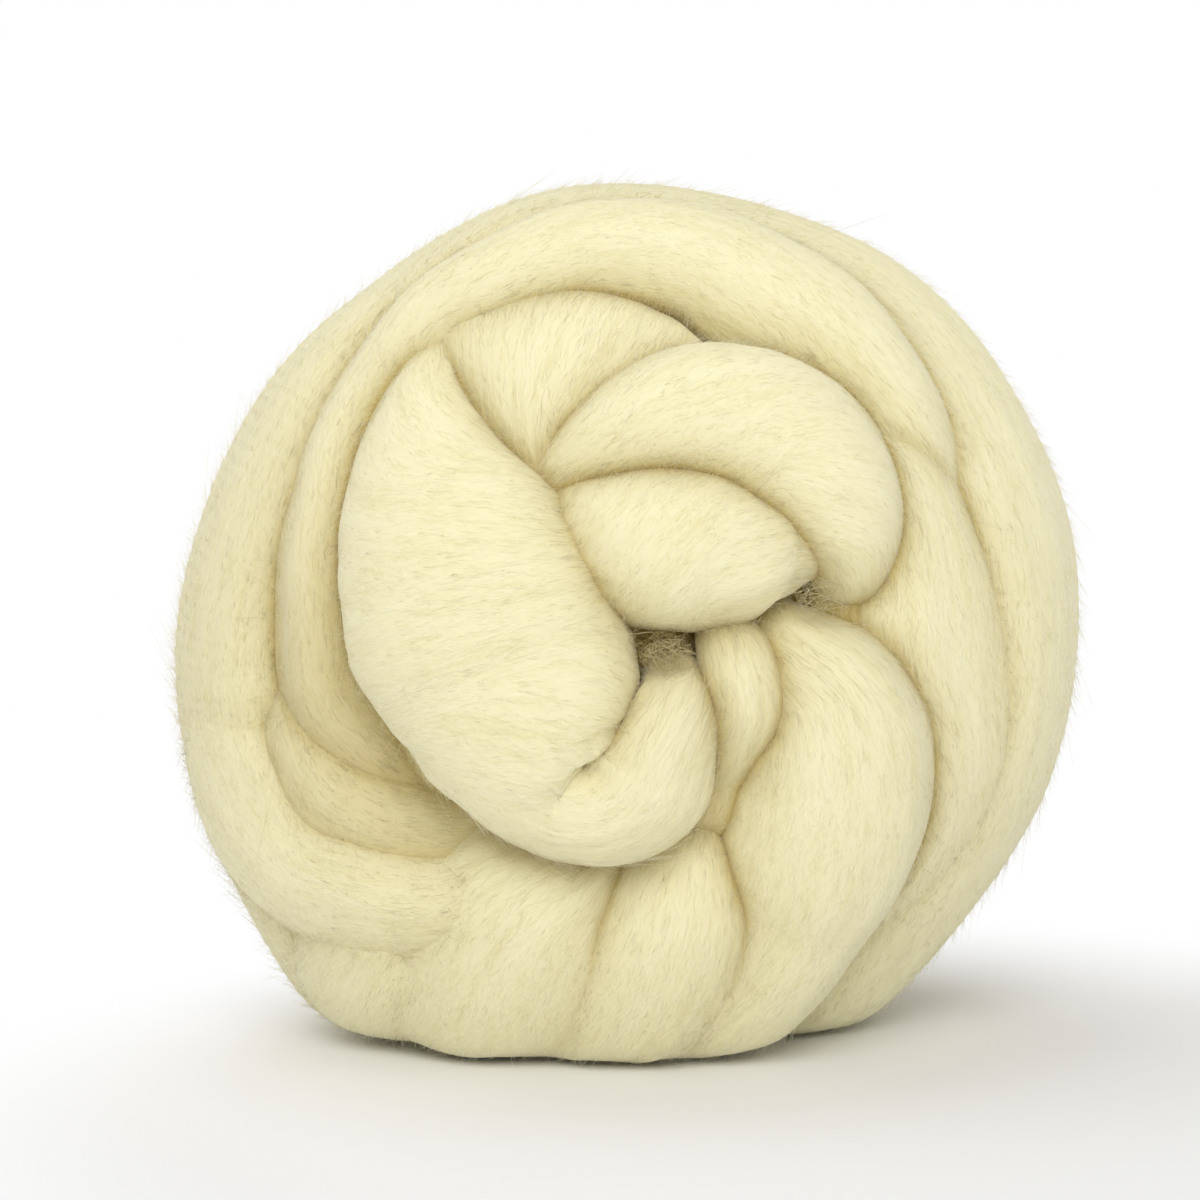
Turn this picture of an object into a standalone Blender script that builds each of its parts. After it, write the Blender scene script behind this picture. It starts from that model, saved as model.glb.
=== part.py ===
"""A ball of wool roving, as one solid.

Roving is a thick, untwisted rope of combed wool. Here it is wound and folded into a round ball
that stands on its edge on a small flat spot. Its turns are swept ovals that lie on the ball's
skin: a ring round the rim, a second ring in front of it, the folds of the front face, and a
coil that closes the back. They are fused into one closed body with a crease between turns.

Sizes are in millimetres in the tables and are turned into metres when the mesh is made.
+Z is up, -Y is the front, and the origin is the middle of the flat spot.
"""
import math
from collections import namedtuple

import bmesh
import bpy
import numpy as np

MM = 0.001

# The ball
HALF_DEPTH = 57.0          # from the ball's centre to its front and to its back
CENTRE_UP = 71.0           # height of the ball's centre over the floor
RIM_SHARE = 0.995          # a Face row past this share of the outline counts as on the rim
HEART_BELOW = 18.0         # how far the filled heart lies under the skin
HEART_SECTIONS = 24        # sections of the heart, from its front to its back
HEART_TIP = 0.02           # tilt of its first section, in radians
SOFT_FLOOR = 6.0           # wool closer to the floor than this is pressed towards it
FLAT_CUT = 0.8             # depth shaved off to make the flat spot truly flat

# The rope
OVAL_POWER = 2.1           # 2 is an ellipse, more is squarer
STEP_ALONG = 2.5           # spacing of the sections along a turn
POINTS_AROUND = 40         # points in one section
END_SHARE = 0.3            # most of a turn's length that one rounded end may take
END_TIP = 0.05             # size of the last section next to a full one

# The mesh
VOXEL = 1.7
TARGET_TRIANGLES = 10500
CUTTER_SIZE = 300.0        # wider than the ball

WOOL_COLOUR = (0.90, 0.83, 0.60, 1.0)
WOOL_ROUGHNESS = 0.9

# Distance from the ball's centre to its outline, by clock bearing in degrees: 0 is the top, 90
# the right and -90 the left, seen from the front. It is fuller at the foot, where it has sagged.
Outline = namedtuple("Outline", "bearing reach")
OUTLINE = [
    Outline(-180, 88.0),
    Outline(-160, 89.0),
    Outline(-142, 88.5),
    Outline(-120, 83.5),
    Outline(-90, 80.5),
    Outline(-50, 74.5),
    Outline(-15, 78.0),
    Outline(15, 77.8),
    Outline(45, 80.0),
    Outline(75, 80.3),
    Outline(100, 79.3),
    Outline(125, 77.5),
    Outline(145, 79.0),
    Outline(162, 86.0),
]

# One row for each place that a turn passes. Face gives it as seen from the front, right of the
# ball's centre and up from it. Rim gives it by bearing, and by tilt from the front (90 is the
# rim, 180 the back). Rise is how far the turn's crest stands over the skin there.
Face = namedtuple("Face", "right up rise half_width half_thick")
Rim = namedtuple("Rim", "bearing tilt rise half_width half_thick")

TURNS = {
    "outer_ring": [
        Rim(-176, 84, 0, 18, 14),
        Rim(-150, 82, 0, 19, 14),
        Rim(-125, 80, -1.5, 20, 14),
        Rim(-95, 79, -1, 22, 14),
        Rim(-65, 80, 0, 22, 14),
        Rim(-40, 86, 0, 19, 14),
        Rim(-10, 94, 0, 18, 14),
        Rim(20, 93, 0, 18, 14),
        Rim(45, 84, 0, 19, 14),
        Rim(75, 76, 0, 21, 14),
        Rim(105, 77, 0, 21, 14),
        Rim(135, 82, 0, 19, 14),
        Rim(165, 90, 0, 17, 14),
        Rim(190, 97, -3, 15, 13),
    ],
    "second_ring": [
        Face(-24, -32, -16, 5, 7),
        Face(-40, -26, -12, 7.5, 9),
        Face(-51.5, -16, -7, 9.5, 10),
        Face(-57, -5, -4.5, 9.5, 12),
        Face(-57, 9, -3, 9.5, 13),
        Face(-56.5, 19, -2, 9, 13),
        Face(-54, 28, -1, 8.5, 13),
        Face(-51, 37, 0, 8.5, 13),
        Face(-45, 48, 0, 9, 13),
        Face(-35, 60, 1, 9, 12),
        Face(-23.5, 66.5, 1.5, 9.5, 11.5),
        Face(-9.5, 72, 2, 10.5, 11),
        Face(3, 73, 2, 11, 11),
        Face(14, 71.5, 2, 11.5, 11),
        Face(25, 67, 1.5, 12, 12),
        Face(35, 61, 1, 12, 12),
        Face(43.5, 52.5, 0, 11, 12),
        Face(51, 43, -1, 8.5, 12),
        Face(57, 34, -5, 6, 10),
        Face(61, 23, -10, 4, 8),
    ],
    "valley": [
        Face(-48, 14, -13, 4, 7),
        Face(-46, 4, -11, 6, 8),
        Face(-43, -6, -11, 7, 8),
        Face(-38, -15, -11, 7.5, 8),
        Face(-30, -24, -11, 8, 8),
        Face(-20, -31, -11, 6, 8),
    ],
    "slope": [
        Face(-66, -2, -13, 4, 7),
        Face(-64, -12, -7.5, 7, 9),
        Face(-60, -21.5, -4, 10, 10),
        Face(-54, -28.5, -3.5, 11, 10),
        Face(-45, -33.5, -4.5, 11, 10),
        Face(-35, -35, -6.5, 10, 10),
        Face(-25, -35, -9, 8.5, 9),
        Face(-15, -33.5, -13, 5, 8),
    ],
    "left_sweep": [
        Face(-75, 10, -10, 6, 8),
        Face(-77.5, -4, -5, 10, 10),
        Face(-76, -18, -1, 15, 11),
        Face(-68.5, -32, 1, 17, 11),
        Face(-58, -40.5, 1.5, 14, 11),
        Face(-46.5, -43.5, 1, 12, 11),
        Face(-33, -44, -0.5, 10, 11),
        Face(-22, -41, -4, 8, 10),
        Face(-11, -36.5, -10, 5, 8),
        Face(-3, -33, -17, 4, 6),
    ],
    "right_bundle": [
        Face(44, 45, -10, 4, 8),
        Face(50, 37, -4.5, 8, 11),
        Face(53.5, 27, -2.5, 10, 12),
        Face(56, 16, -2, 13, 13),
        Face(58, 2, -1.5, 15.5, 13),
        Face(60.5, -12, -1, 14, 12),
        Face(60.5, -23, -1, 13, 12),
        Face(57.5, -35, -2, 12, 12),
        Face(51, -48, -4, 11, 11),
        Face(43, -60, -6, 8, 9),
    ],
    "front_fold": [
        Face(-33, 60, -10, 3, 7),
        Face(-34.5, 53.5, -4, 6, 10),
        Face(-36.2, 45.5, 0.5, 9.5, 13),
        Face(-36, 37, 3.5, 14, 15),
        Face(-34, 27.5, 6, 18.5, 17),
        Face(-30.4, 18.4, 8, 21.6, 18),
        Face(-26.6, 10.1, 8, 23.6, 18),
        Face(-22.3, 1.4, 8, 22, 18),
        Face(-18.9, -6, 8, 20.2, 17),
        Face(-16.6, -12.8, 7.5, 18.4, 16.5),
        Face(-14.2, -18.2, 6.5, 14.4, 15.5),
        Face(-11, -21.4, 5.5, 12, 14),
        Face(-8.2, -22.6, 5, 11, 13),
        Face(-3.6, -22.6, 5, 11, 12.5),
        Face(0.6, -20.6, 5, 11.5, 12),
        Face(3.6, -17, 5, 11.6, 12),
        Face(6.2, -12, 4, 9.6, 11),
        Face(8.3, -8.4, 0, 7.4, 10),
        Face(9.2, -5.6, -7, 6, 8),
        Face(9.7, -3.6, -13, 4.5, 6),
        Face(9.8, -0.5, -18, 3, 5),
    ],
    "fold_core": [
        Face(-17, -5, -11, 4, 8),
        Face(-11, -9, -5, 7, 11),
        Face(-6.5, -13, -1, 8, 12),
        Face(-4, -17, 0.5, 7.5, 11),
        Face(-2, -21.5, -6, 5, 9),
    ],
    "fan": [
        Face(-13, 31, -16, 3, 6),
        Face(-15.5, 37, -8, 7, 10),
        Face(-16.5, 44, -4, 13, 12),
        Face(-15, 51, -3, 20, 12),
        Face(-13, 57, -3, 25, 12),
        Face(-11, 63, -6, 26, 12),
        Face(-9, 69, -13, 20, 10),
    ],
    "crescent": [
        Face(-14, 31, -14, 3, 6),
        Face(-10.5, 35.5, -6, 5.5, 9),
        Face(-4.5, 39, -1, 8, 11),
        Face(3, 42.5, 2, 10.5, 13),
        Face(12, 44, 3.5, 13, 14),
        Face(21, 42.5, 4.5, 14, 15),
        Face(29, 38, 4.5, 14.5, 15),
        Face(34.5, 31.5, 4, 14, 14),
        Face(38.5, 25, 2, 11, 13),
        Face(40.5, 20, -3, 8, 10),
        Face(41, 16, -11, 4, 7),
    ],
    "knob": [
        Face(-13.5, 25.5, -15, 4, 7),
        Face(-9.5, 25, -7, 8, 11),
        Face(-4.5, 24.4, -1, 11, 14),
        Face(1.5, 22.8, 3, 13.2, 15.5),
        Face(8, 22, 5, 14, 16),
        Face(14, 21.4, 5.5, 13.6, 16),
        Face(20, 20.4, 4, 12, 14),
        Face(24.2, 20.4, 1.5, 9.2, 12),
        Face(27.6, 20.2, -3, 7, 9),
        Face(30, 19.8, -10, 4.5, 7),
    ],
    "tuck": [
        Face(47, 28, -12, 4, 7),
        Face(45, 21, -10, 6, 8),
        Face(44, 14, -10.5, 7, 8),
        Face(44.5, 6, -10, 7, 8),
        Face(48, -2, -9, 6, 8),
        Face(52, -9, -13, 4, 7),
    ],
    "stub": [
        Face(17.5, 7, -12, 3, 6),
        Face(19, 3, -3, 5.5, 8),
        Face(20, -1, 0, 7, 9),
        Face(20.8, -5.5, 0.5, 7.4, 9),
        Face(19.8, -11, -2.5, 7.2, 8.5),
        Face(18, -18, -6.5, 8.5, 9),
        Face(16.5, -26, -7.5, 8.5, 9),
        Face(15, -35, -9.5, 8, 8),
    ],
    "lower_lobe": [
        Face(27, 8, -18, 5, 8),
        Face(30, 2, -7, 8.2, 11),
        Face(33.8, -2.5, 0, 10.8, 13),
        Face(36.3, -6, 3.5, 13.3, 14),
        Face(37.8, -12, 5, 16, 15),
        Face(38.2, -20, 5.5, 17, 16),
        Face(37, -29, 5.5, 17.5, 16),
        Face(34.5, -38.5, 5, 16.5, 15),
        Face(31, -47, 4, 14.5, 14),
        Face(26, -56, 3, 13.5, 13),
        Face(18, -66, 2, 13, 12),
        Face(10, -76, 1.5, 12, 11),
        Face(5, -82, 1, 11, 10),
    ],
    "lobe_right": [
        Face(13.5, -31, -14, 5, 8),
        Face(12, -37, -7, 9, 11),
        Face(10.5, -44, -1.5, 14, 13),
        Face(9, -49, 1, 16, 14),
        Face(5.5, -57, 2, 17, 14),
        Face(0, -66, 2, 16, 13),
        Face(-6, -76, 1.5, 15, 12),
        Face(-10, -82, 1, 14, 12),
    ],
    "lobe_mid": [
        Face(-1, -34, -10, 6, 8),
        Face(-8, -39, -4, 13, 12),
        Face(-15, -45, -0.5, 19, 14),
        Face(-20, -53, 1, 22, 15),
        Face(-24, -62, 1.5, 22, 15),
        Face(-29, -71, 1.5, 20, 14),
        Face(-34, -79, 1, 17, 12),
    ],
    "lobe_left": [
        Face(-34, -41, -8, 9, 10),
        Face(-38.5, -48, -3, 15, 12),
        Face(-43, -56, 0, 18, 13),
        Face(-47.5, -65, 0.5, 17, 13),
        Face(-52, -73, 0.5, 14, 12),
        Face(-56, -80, 0, 11, 11),
    ],
    "back_middle": [
        Rim(-20, 152, -14, 9, 8),
        Rim(-35, 161, -8, 14, 11),
        Rim(-75, 171, -6, 16, 12),
        Rim(-150, 168, -6, 16, 12),
        Rim(-160, 156, -9, 13, 11),
        Rim(-165, 148, -15, 9, 8),
    ],
}

# The back is one coil that winds outward from the middle to the outer ring.
COIL_TURNS = 2.6
COIL_ROWS_PER_TURN = 14
COIL_START_TILT = 174.0    # close to the middle of the back
COIL_END_TILT = 106.0      # mean tilt of the outermost turn
COIL_END_SWAY = 8.0        # the outermost turn leans this far back at the top and the foot
COIL_EASE = 0.8
COIL_SINK = 3.0            # how far the coil's start lies in under the skin
COIL_START_WIDTH = 13.0
COIL_END_WIDTH = 17.0
COIL_THICK = 14.0


def clear_scene():
    for item in list(bpy.data.objects):
        bpy.data.objects.remove(item, do_unlink=True)


def reach(bearing):
    """Distance from the centre to the outline at a bearing, eased between the table's rows."""
    bearing = (bearing + 180.0) % 360.0 - 180.0
    closed = OUTLINE + [Outline(OUTLINE[0].bearing + 360, OUTLINE[0].reach)]
    for here, ahead in zip(closed, closed[1:]):
        if here.bearing <= bearing <= ahead.bearing:
            share = (bearing - here.bearing) / (ahead.bearing - here.bearing)
            eased = share * share * (3.0 - 2.0 * share)
            return here.reach + (ahead.reach - here.reach) * eased
    raise ValueError("the outline leaves a gap at bearing %g" % bearing)


def place(row):
    """Centre of a turn's section at a row, and the skin's outward direction there."""
    if isinstance(row, Face):
        bearing = math.atan2(row.right, row.up)
        radius = reach(math.degrees(bearing))
        tilt = math.asin(min(math.hypot(row.right, row.up) / radius, RIM_SHARE))
    else:
        bearing = math.radians(row.bearing)
        radius = reach(row.bearing)
        tilt = math.radians(row.tilt)
    half_axes = np.array([radius, HALF_DEPTH, radius])
    toward = np.array([
        math.sin(tilt) * math.sin(bearing),
        -math.cos(tilt),
        math.sin(tilt) * math.cos(bearing),
    ])
    outward = toward / half_axes
    outward /= np.linalg.norm(outward)
    return toward * half_axes + outward * (row.rise - row.half_thick), outward


def coil_rows():
    """Rows of the back's coil, from its middle outward."""
    steps = round(COIL_TURNS * COIL_ROWS_PER_TURN)
    rows = []
    for index in range(steps + 1):
        share = index / steps
        bearing = 360.0 * COIL_TURNS * share
        end_tilt = COIL_END_TILT + COIL_END_SWAY * math.cos(math.radians(2.0 * bearing))
        tilt = COIL_START_TILT + (end_tilt - COIL_START_TILT) * share ** COIL_EASE
        rise = -COIL_SINK * (1.0 - share) ** 2
        half_width = COIL_START_WIDTH + (COIL_END_WIDTH - COIL_START_WIDTH) * share
        rows.append(Rim(bearing, tilt, rise, half_width, COIL_THICK))
    return rows


def smooth_rows(rows):
    """Catmull-Rom curve through rows of numbers whose first three are a position."""
    table = np.array(rows)
    padded = np.vstack([2 * table[0] - table[1], table, 2 * table[-1] - table[-2]])
    pieces = []
    for index in range(1, len(padded) - 2):
        before, start, end, after = padded[index - 1:index + 3]
        count = max(2, int(np.linalg.norm(end[:3] - start[:3]) / STEP_ALONG) + 1)
        t = np.linspace(0.0, 1.0, count, endpoint=False)[:, None]
        pieces.append(0.5 * (
            2 * start
            + (end - before) * t
            + (2 * before - 5 * start + 4 * end - after) * t ** 2
            + (3 * start - before - 3 * end + after) * t ** 3
        ))
    pieces.append(table[-1:])
    return np.vstack(pieces)


def unit(vectors):
    return vectors / np.linalg.norm(vectors, axis=1, keepdims=True)


def signed_power(values, power):
    return np.sign(values) * np.abs(values) ** power


def turn_points(rows):
    """Points of one turn, section by section: an oval swept along its rows with round ends."""
    table = []
    for row in rows:
        centre, outward = place(row)
        table.append([*centre, *outward, row.half_width, row.half_thick])
    curve = smooth_rows(table)
    centre, half_width, half_thick = curve[:, :3], curve[:, 6], curve[:, 7]
    along = unit(np.gradient(centre, axis=0))
    outward = curve[:, 3:6]
    outward = unit(outward - (outward * along).sum(axis=1, keepdims=True) * along)
    across = np.cross(along, outward)

    steps = np.linalg.norm(np.diff(centre, axis=0), axis=1)
    length = np.concatenate([[0.0], np.cumsum(steps)])
    to_end = np.minimum(length, length[-1] - length)
    end_length = np.minimum(half_width, END_SHARE * length[-1])
    closing = 1.0 - np.clip(to_end / end_length, 0.0, 1.0)
    size = np.maximum(np.sqrt(1.0 - closing ** 2), END_TIP)

    angle = np.linspace(0.0, 2.0 * math.pi, POINTS_AROUND, endpoint=False)
    wide = signed_power(np.cos(angle), 2.0 / OVAL_POWER)
    thick = signed_power(np.sin(angle), 2.0 / OVAL_POWER)
    return (
        centre[:, None]
        + across[:, None] * (half_width * size)[:, None, None] * wide[None, :, None]
        + outward[:, None] * (half_thick * size)[:, None, None] * thick[None, :, None]
    )


def tube_faces(sections):
    """Faces of a tube of the given number of sections, with a cap at each end."""
    around = POINTS_AROUND
    faces = []
    for section in range(sections - 1):
        here, ahead = section * around, (section + 1) * around
        for point in range(around):
            after = (point + 1) % around
            faces.append((here + point, here + after, ahead + after, ahead + point))
    faces.append(tuple(reversed(range(around))))
    faces.append(tuple(range((sections - 1) * around, sections * around)))
    return faces


def pressed(points):
    """Points in metres over the floor, with those near and under it pressed softly to it."""
    up = points[:, 2] + CENTRE_UP
    low = SOFT_FLOOR * np.exp(np.minimum(up / SOFT_FLOOR - 1.0, 0.0))
    settled = points.copy()
    settled[:, 2] = np.where(up < SOFT_FLOOR, low, up) - FLAT_CUT
    return settled * MM


def add_shell(shells, points, faces):
    """Adds one closed shell to the bmesh that collects them."""
    corners = [shells.verts.new(point) for point in points]
    for face in faces:
        shells.faces.new([corners[index] for index in face])


def heart_points():
    """Points of the filled heart of the ball, in sections from its front to its back."""
    bearings = np.linspace(-180.0, 180.0, POINTS_AROUND, endpoint=False)
    radii = np.array([reach(bearing) for bearing in bearings]) - HEART_BELOW
    depth = HALF_DEPTH - HEART_BELOW
    turn = np.radians(bearings)
    rings = []
    for tilt in np.linspace(HEART_TIP, math.pi - HEART_TIP, HEART_SECTIONS):
        rings.append(np.column_stack([
            math.sin(tilt) * radii * np.sin(turn),
            np.full(POINTS_AROUND, -depth * math.cos(tilt)),
            math.sin(tilt) * radii * np.cos(turn),
        ]))
    return np.array(rings)


def make_shells():
    """All turns and the heart in one mesh, as closed shells that overlap."""
    shells = bmesh.new()
    all_rows = list(TURNS.values()) + [coil_rows()]
    for sections in [turn_points(rows) for rows in all_rows] + [heart_points()]:
        add_shell(shells, pressed(sections.reshape(-1, 3)), tube_faces(len(sections)))
    bmesh.ops.recalc_face_normals(shells, faces=shells.faces)
    mesh = bpy.data.meshes.new("roving_shells")
    shells.to_mesh(mesh)
    shells.free()
    return mesh


def fuse(mesh):
    """The shells' union as one mesh, by a voxel remesh, without the hollows left inside."""
    source = bpy.data.objects.new("roving_shells", mesh)
    bpy.context.collection.objects.link(source)
    remesh = source.modifiers.new("fuse", "REMESH")
    remesh.mode = "VOXEL"
    remesh.voxel_size = VOXEL * MM
    bpy.context.view_layer.update()
    evaluated = source.evaluated_get(bpy.context.evaluated_depsgraph_get())
    fused = bpy.data.meshes.new_from_object(evaluated)
    bpy.data.objects.remove(source, do_unlink=True)
    keep_outer_shell(fused)
    return fused


def keep_outer_shell(mesh):
    """Deletes every connected piece but the one that spans the most."""
    body = bmesh.new()
    body.from_mesh(mesh)
    unseen = set(body.verts)
    islands = []
    while unseen:
        stack = [unseen.pop()]
        island = []
        while stack:
            vert = stack.pop()
            island.append(vert)
            for edge in vert.link_edges:
                other = edge.other_vert(vert)
                if other in unseen:
                    unseen.remove(other)
                    stack.append(other)
        islands.append(island)
    islands.sort(key=len)
    inner = [vert for island in islands[:-1] for vert in island]
    bmesh.ops.delete(body, geom=inner, context="VERTS")
    body.to_mesh(mesh)
    body.free()


def wool_material():
    material = bpy.data.materials.new("cream_wool")
    material.use_nodes = True
    shader = material.node_tree.nodes["Principled BSDF"]
    shader.inputs["Base Color"].default_value = WOOL_COLOUR
    shader.inputs["Roughness"].default_value = WOOL_ROUGHNESS
    shader.inputs["Metallic"].default_value = 0.0
    return material


def floor_cutter():
    """Block under the floor that shaves the ball's foot flat. It isn't part of the object."""
    size = CUTTER_SIZE * MM
    bpy.ops.mesh.primitive_cube_add(size=size, location=(0.0, 0.0, -size / 2.0))
    cutter = bpy.context.object
    cutter.name = "floor_cutter"
    cutter.hide_render = True
    cutter.display_type = "WIRE"
    return cutter


def make_ball():
    mesh = fuse(make_shells())
    mesh.name = "roving_ball"
    mesh.materials.clear()
    mesh.materials.append(wool_material())
    mesh.shade_smooth()
    ball = bpy.data.objects.new("roving_ball", mesh)
    bpy.context.collection.objects.link(ball)

    mesh.calc_loop_triangles()
    thin = ball.modifiers.new("thin_out", "DECIMATE")
    thin.ratio = min(1.0, TARGET_TRIANGLES / len(mesh.loop_triangles))

    flat = ball.modifiers.new("flat_spot", "BOOLEAN")
    flat.operation = "DIFFERENCE"
    flat.solver = "EXACT"
    flat.object = floor_cutter()
    return ball


clear_scene()
make_ball()
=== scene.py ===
"""The looks of a ball of wool roving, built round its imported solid.

Roving is a thick, untwisted rope of combed wool. The solid fuses the ball's turns into one body.
Here each turn is a mesh of its own, placed as in the solid's source, with fine ridges that
follow its fibres, and loose fibres lie on the turns and stand off them.

Lengths are in millimetres and are turned into metres when a mesh is made. +Z is up, -Y is the
front, and the origin is the middle of the flat spot that the ball stands on.
"""
import itertools
import math
from collections import namedtuple

import bpy
import numpy as np
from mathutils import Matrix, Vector
from mathutils.bvhtree import BVHTree


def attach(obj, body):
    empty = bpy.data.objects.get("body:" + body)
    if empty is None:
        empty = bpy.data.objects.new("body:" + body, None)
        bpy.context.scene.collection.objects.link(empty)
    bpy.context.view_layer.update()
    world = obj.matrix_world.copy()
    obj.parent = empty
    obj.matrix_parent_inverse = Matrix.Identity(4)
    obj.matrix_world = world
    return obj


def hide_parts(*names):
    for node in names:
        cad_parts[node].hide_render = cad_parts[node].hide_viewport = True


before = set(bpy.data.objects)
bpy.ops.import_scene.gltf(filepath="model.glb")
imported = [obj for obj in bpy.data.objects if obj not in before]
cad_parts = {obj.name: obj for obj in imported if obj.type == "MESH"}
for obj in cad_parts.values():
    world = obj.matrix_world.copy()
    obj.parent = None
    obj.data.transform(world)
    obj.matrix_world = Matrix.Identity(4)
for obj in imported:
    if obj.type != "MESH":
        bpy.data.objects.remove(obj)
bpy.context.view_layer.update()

MM = 0.001
SEED = 7

# The ball, as in the solid's source
HALF_DEPTH = 57.0          # from the ball's centre to its front and to its back
CENTRE_UP = 71.0           # height of the ball's centre over the floor
RIM_SHARE = 0.995          # a Face row past this share of the outline counts as on the rim
HEART_BELOW = 18.0         # how far the filled heart lies under the skin
HEART_SECTIONS, HEART_AROUND = 60, 120
HEART_END = 0.02           # angle in radians of its first section from its axis
HEART_STREAK = 0.1         # its pattern is drawn out upwards, by one over this
SOFT_FLOOR = 6.0           # wool closer to the floor than this is pressed towards it
FLAT_CUT = 0.8             # how far the flat spot lies above the ball's unpressed foot
FLOOR_GAP = 0.05           # the wool stops this far over the floor

# The rope, as in the solid's source
OVAL_POWER = 2.1           # 2 is an ellipse, more is squarer
END_SHARE = 0.3            # most of a turn's length that one rounded end may take
END_TIP = 0.05             # size of the last section next to a full one

FRONT_DENSITY = 0.55       # under 1 puts more of a section's points on its outer side

# Distance from the ball's centre to its outline, by clock bearing in degrees: 0 is the top, 90
# the right and -90 the left, seen from the front.
Outline = namedtuple("Outline", "bearing reach")
OUTLINE = [
    Outline(-180, 88.0),
    Outline(-160, 89.0),
    Outline(-142, 88.5),
    Outline(-120, 83.5),
    Outline(-90, 80.5),
    Outline(-50, 74.5),
    Outline(-15, 78.0),
    Outline(15, 77.8),
    Outline(45, 80.0),
    Outline(75, 80.3),
    Outline(100, 79.3),
    Outline(125, 77.5),
    Outline(145, 79.0),
    Outline(162, 86.0),
]

# One row for each place that a turn passes. Face gives it as seen from the front, right of the
# ball's centre and up from it. Rim gives it by bearing, and by tilt from the front (90 is the
# rim, 180 the back). Rise is how far the turn's crest stands over the skin there. Lay is the
# angle in degrees by which the fibres run across the turn there, and shade, from 0 to 1, is how
# much shade is painted on the turn there, as it lies deep in the ball.
Face = namedtuple("Face", "right up rise half_width half_thick lay shade", defaults=[0, 0.0])
Rim = namedtuple("Rim", "bearing tilt rise half_width half_thick lay shade", defaults=[0, 0.0])

# A turn's rows, the spacing of its mesh's sections and the points in one section. Sections are
# closer where the fibres run across the turn. A turn creases against itself where it comes back
# after the length own_reach.
Turn = namedtuple("Turn", "rows step around own_reach", defaults=[1.6, 160, 100.0])

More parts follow.
